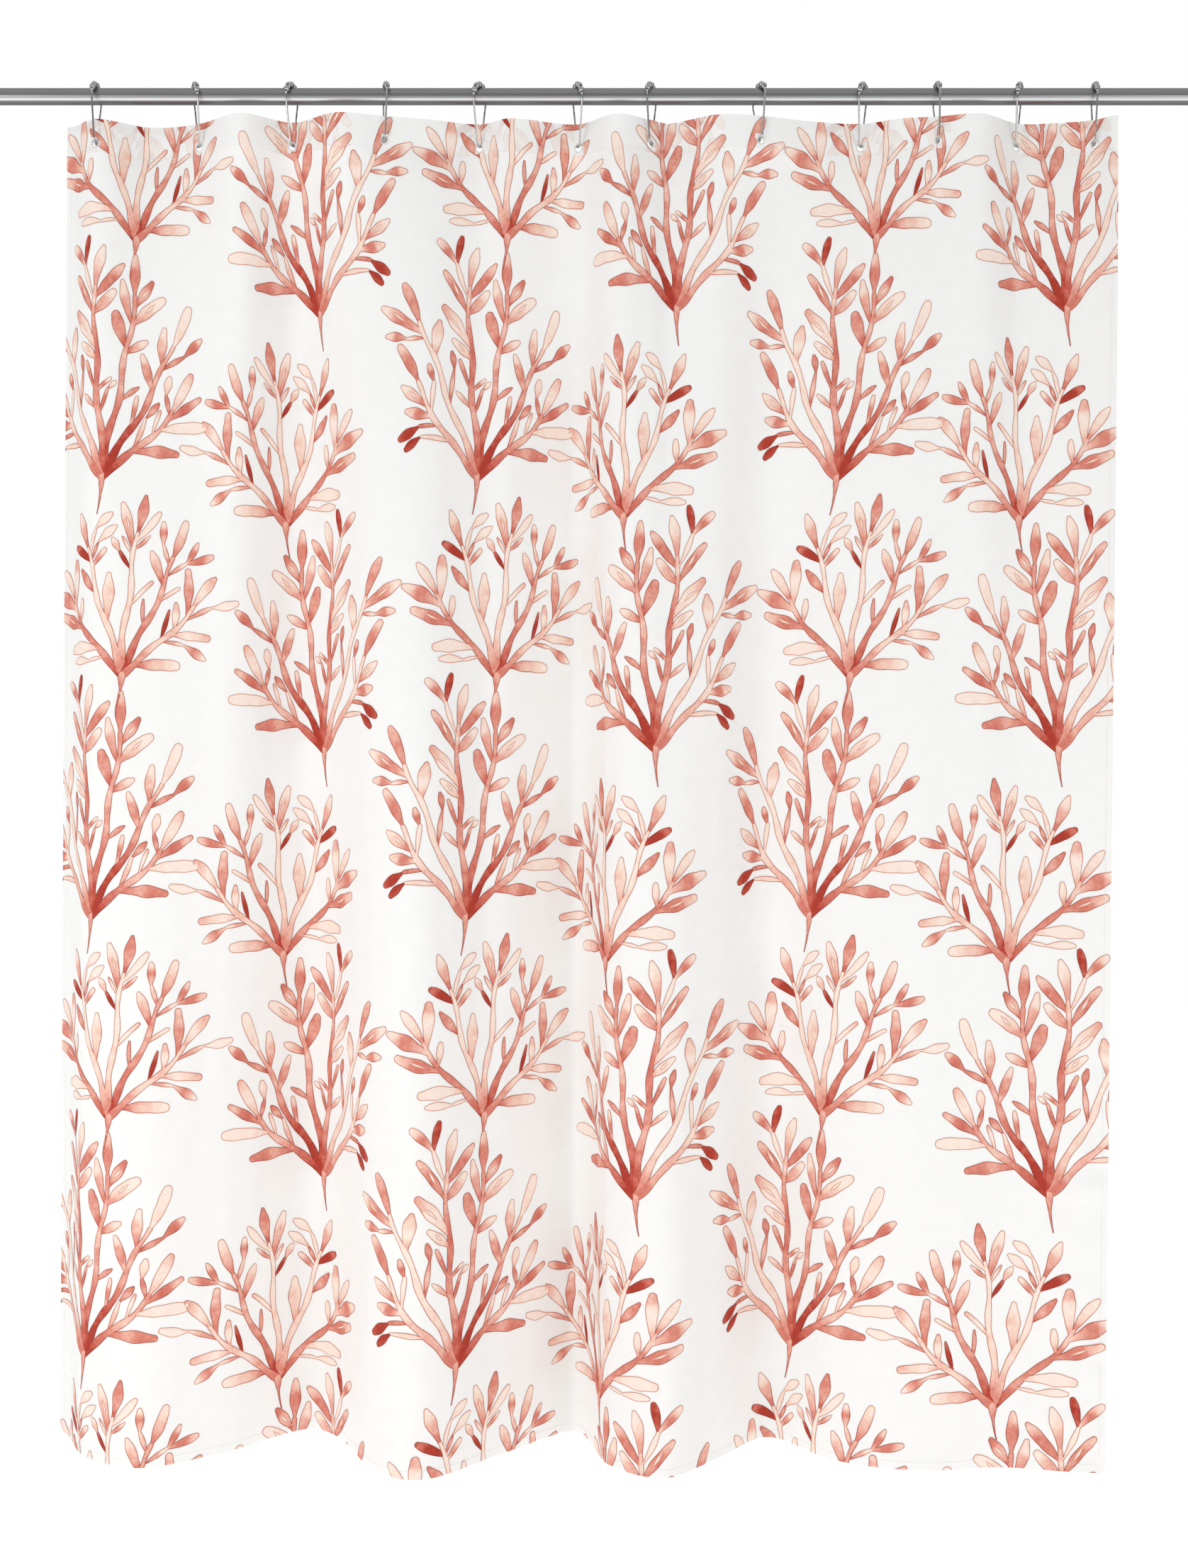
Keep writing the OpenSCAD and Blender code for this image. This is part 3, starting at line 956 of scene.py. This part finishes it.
def print_material(name, strength):
    """Watercolour: pale peach to brick by tone, pooled and grainy, with a thin darker outline.

    A strength below 1 fades it into the cloth's own colour, as on the back."""
    mat, nodes, links, shader = node_material(name)
    flat = attribute(nodes, "flat").outputs["Vector"]
    tone = attribute(nodes, "tone").outputs["Fac"]
    rim = attribute(nodes, "rim").outputs["Fac"]
    pool = noise(nodes, links, flat, 42, 5, 0.62)
    grain = noise(nodes, links, flat, 420, 6, 0.75)
    shift = nodes.new("ShaderNodeMath")
    shift.operation = "MULTIPLY_ADD"
    shift.inputs[1].default_value = 1.0
    links.new(pool, shift.inputs[0])
    links.new(tone, shift.inputs[2])
    centred = nodes.new("ShaderNodeMath")
    centred.operation = "SUBTRACT"
    centred.inputs[1].default_value = 0.52
    links.new(shift.outputs[0], centred.inputs[0])
    wash = ramp(nodes, links, centred.outputs[0], [
        (0.0, srgb(254, 238, 226)), (0.22, srgb(250, 220, 204)), (0.42, srgb(241, 183, 166)),
        (0.60, srgb(225, 143, 126)), (0.78, srgb(210, 112, 96)), (0.92, srgb(190, 74, 57)),
        (1.0, srgb(176, 58, 42))])
    speck = ramp(nodes, links, grain, [(0.30, srgb(234, 214, 206)), (0.62, (1.0, 1.0, 1.0))])
    grainy = mix_color(nodes, links, "MULTIPLY", 0.45, wash, speck)
    edge = ramp(nodes, links, centred.outputs[0], [
        (0.0, srgb(216, 152, 130)), (0.4, srgb(192, 104, 84)), (1.0, srgb(142, 46, 36))])
    color = mix_color(nodes, links, "MIX", rim, grainy, edge)
    if strength < 1:
        color = mix_color(nodes, links, "MIX", strength, srgb(247, 245, 241), color)
    links.new(color, shader.inputs["Base Color"])
    shader.inputs["Roughness"].default_value = 0.72
    shader.inputs["Specular IOR Level"].default_value = 0.25
    weave_bump(nodes, links, flat, shader)
    return mat


def thread_material():
    """Off-white sewing thread with a fine twist."""
    mat, nodes, links, shader = node_material("thread")
    flat = attribute(nodes, "flat").outputs["Vector"]
    twist = noise(nodes, links, flat, 900, 3)
    color = ramp(nodes, links, twist, [(0.3, srgb(234, 230, 225)), (0.7, srgb(250, 248, 244))])
    links.new(color, shader.inputs["Base Color"])
    shader.inputs["Roughness"].default_value = 0.55
    shader.inputs["Sheen Weight"].default_value = 0.3
    return mat


def steel_material(name, dark, light, roughness, streak=(1, 900, 900), painted_reflection_bands=True):
    """Brushed or polished metal: fine streaks, scaled along X, Y and Z. Where asked, it also gets painted
    reflection:
    dark and bright bands painted into the colour by how far each face looks up or down, standing in for
    the studio that a long rod reflects."""
    mat, nodes, links, shader = node_material(name)
    coords = nodes.new("ShaderNodeTexCoord")
    scale = nodes.new("ShaderNodeMapping")
    scale.inputs["Scale"].default_value = streak
    links.new(coords.outputs["Object"], scale.inputs["Vector"])
    lines = noise(nodes, links, scale.outputs[0], 1.0, 4)
    color = ramp(nodes, links, lines, [(0.3, dark), (0.7, light)])
    # Painted reflection: bands chosen by how far each face looks up or down are multiplied into the
    # metal's colour
    if painted_reflection_bands:
        geometry = nodes.new("ShaderNodeNewGeometry")
        split = nodes.new("ShaderNodeSeparateXYZ")
        links.new(geometry.outputs["Normal"], split.inputs[0])
        remap = nodes.new("ShaderNodeMapRange")
        remap.inputs["From Min"].default_value = -1
        links.new(split.outputs["Z"], remap.inputs["Value"])
        # Painted reflection by facing, from straight down at 0 to straight up at 1: dark below, a bright
        # stripe facing about 40 degrees down, darker bands above
        band = ramp(nodes, links, remap.outputs[0], [
            (0.0, (0.16, 0.16, 0.16)), (0.10, (0.22, 0.22, 0.22)), (0.17, (1.0, 1.0, 1.0)),
            (0.24, (0.40, 0.40, 0.40)), (0.45, (0.34, 0.34, 0.34)), (0.85, (0.27, 0.27, 0.27)),
            (1.0, (0.5, 0.5, 0.5))])
        color = mix_color(nodes, links, "MULTIPLY", 1.0, color, band)
    links.new(color, shader.inputs["Base Color"])
    shader.inputs["Metallic"].default_value = 1.0
    shader.inputs["Roughness"].default_value = roughness
    bump = nodes.new("ShaderNodeBump")
    bump.inputs["Strength"].default_value = 0.06
    bump.inputs["Distance"].default_value = 0.0002
    links.new(lines, bump.inputs["Height"])
    links.new(bump.outputs[0], shader.inputs["Normal"])
    return mat


def dress(node, material):
    """Gives a CAD node its material, and keeps its edges crisp."""
    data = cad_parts[node].data
    data.materials.clear()
    data.materials.append(material)
    data.polygons.foreach_set("use_smooth", [False] * len(data.polygons))


# ---------------------------------------------------------------- assembly

CLOTH_TINT = srgb(248, 248, 246)
ALL_OF_IT, HEADER_SHOWS, BACK_SHOWS = 1.0, 0.18, 0.34  # strengths of the print
cloth = cloth_material("printed_cloth", CLOTH_TINT)
hem = cloth_material("hem_cloth", CLOTH_TINT)
ink = print_material("print", ALL_OF_IT)
faint = print_material("show_through_header", HEADER_SHOWS)
pale = print_material("show_through_back", BACK_SHOWS)
thread = thread_material()

panel = add_panel(cloth)
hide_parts("curtain_panel")
header = add_header_layer(hem)
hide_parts("header_hem")
bottom = add_bottom_layer(hem)
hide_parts("bottom_hem")
left = add_side_layer("side_fold_left", True, hem)
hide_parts("side_hem_left")
right = add_side_layer("side_fold_right", False, hem)
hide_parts("side_hem_right")
rims = add_buttonhole_rims(thread)
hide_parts("buttonhole_rims")

# Each seam runs inside its hem's sewn edge, and those across stop short of the cloth's sides
SEAM_INSET, SEAM_END = 1.5 * MM, 4 * MM
HEADER_SEAM, BOTTOM_SEAM = HEADER - SEAM_INSET, CLOTH - BOTTOM_HEM + SEAM_INSET
LEFT_SEAM, RIGHT_SEAM = SIDE_HEM - SEAM_INSET, CLOTH - SIDE_HEM + SEAM_INSET
seams = add_stitches("hem_stitches", [
    (SEAM_END, HEADER_SEAM, CLOTH - SEAM_END, HEADER_SEAM),
    (SEAM_END, BOTTOM_SEAM, CLOTH - SEAM_END, BOTTOM_SEAM),
    (LEFT_SEAM, HEADER, LEFT_SEAM, CLOTH - BOTTOM_HEM),
    (RIGHT_SEAM, HEADER, RIGHT_SEAM, CLOTH - BOTTOM_HEM)], thread)
cloth_pieces = [header, bottom, left, right, rims, seams]

# The print repeats every PERIOD_S across and PERIOD_T down. Each repeat holds two corals and two
# sprigs, one of each mirrored, and is stamped wherever it meets the cloth. The layout gives the flat
# place of each stalk's end in the first repeat.
PERIOD_S, PERIOD_T = 0.645, 0.600
REPEATS_ACROSS, REPEATS_DOWN = range(-1, 4), range(-1, 5)
coral_art = paint(coral())
sprig_art = paint(sprig())
INK_LIFT = 0.45 * MM
GHOST_LIFT = 0.25 * MM
LAYOUT = [
    ("coral_a", coral_art, True, 0.092, 0.540),
    ("sprig_a", sprig_art, False, 0.133, 0.205),
    ("coral_b", coral_art, False, 0.467, 0.312),
    ("sprig_b", sprig_art, True, 0.399, 0.592)]
header_ghost, header_back, back_ghost = [], [], []
for label, art, mirrored, s0, t0 in LAYOUT:
    for i in REPEATS_ACROSS:
        for j in REPEATS_DOWN:
            place = (s0 + i * PERIOD_S, t0 + j * PERIOD_T)
            front = stamp(art, place, mirrored, INK_LIFT)
            if front is not None:
                name = f"print_{label}_{i + 1}{j + 1}"
                cloth_pieces.append(print_piece(name, [front], ink))
            header_ghost.append(stamp(art, place, mirrored, GHOST_LIFT, False, True))
            header_back.append(stamp(art, place, mirrored, -LAYER_GAP - INK_LIFT, True, True))
            back_ghost.append(stamp(art, place, mirrored, -INK_LIFT, True))
for name, stamps, material in (("print_seen_through_header", header_ghost, faint),
                               ("print_on_header_back", header_back, ink),
                               ("print_seen_from_behind", back_ghost, pale)):
    found = [one for one in stamps if one is not None]
    cloth_pieces.append(print_piece(name, found, material))

for piece in [panel] + cloth_pieces:
    hang(piece)

# Only the rod's steel carries the painted reflection bands; the other metals keep their plain streaked
# colour
rod_steel = steel_material("satin_steel_painted_bands", (0.78, 0.78, 0.79), (0.90, 0.90, 0.91), 0.33)
plate = steel_material("plated_steel", (0.46, 0.46, 0.47), (0.56, 0.56, 0.57), 0.3, (60, 60, 60),
                       False)
wire = steel_material("bright_wire", (0.42, 0.42, 0.42), (0.52, 0.52, 0.51), 0.14,
                      (700, 700, 60), False)
ball = steel_material("plated_balls", (0.36, 0.36, 0.36), (0.50, 0.50, 0.49), 0.18,
                      (500, 500, 500), False)
oxide = steel_material("black_oxide", (0.03, 0.03, 0.03), (0.06, 0.06, 0.06), 0.5,
                       (800, 800, 800), False)
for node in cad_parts:
    if node == "rod_tube":
        dress(node, rod_steel)
    elif node.startswith("flange"):
        dress(node, plate)
    elif node.startswith("grub"):
        dress(node, oxide)
    elif node.endswith("_wire"):
        dress(node, wire)
    elif node.endswith("roller") or node.endswith("rollers"):
        dress(node, ball)
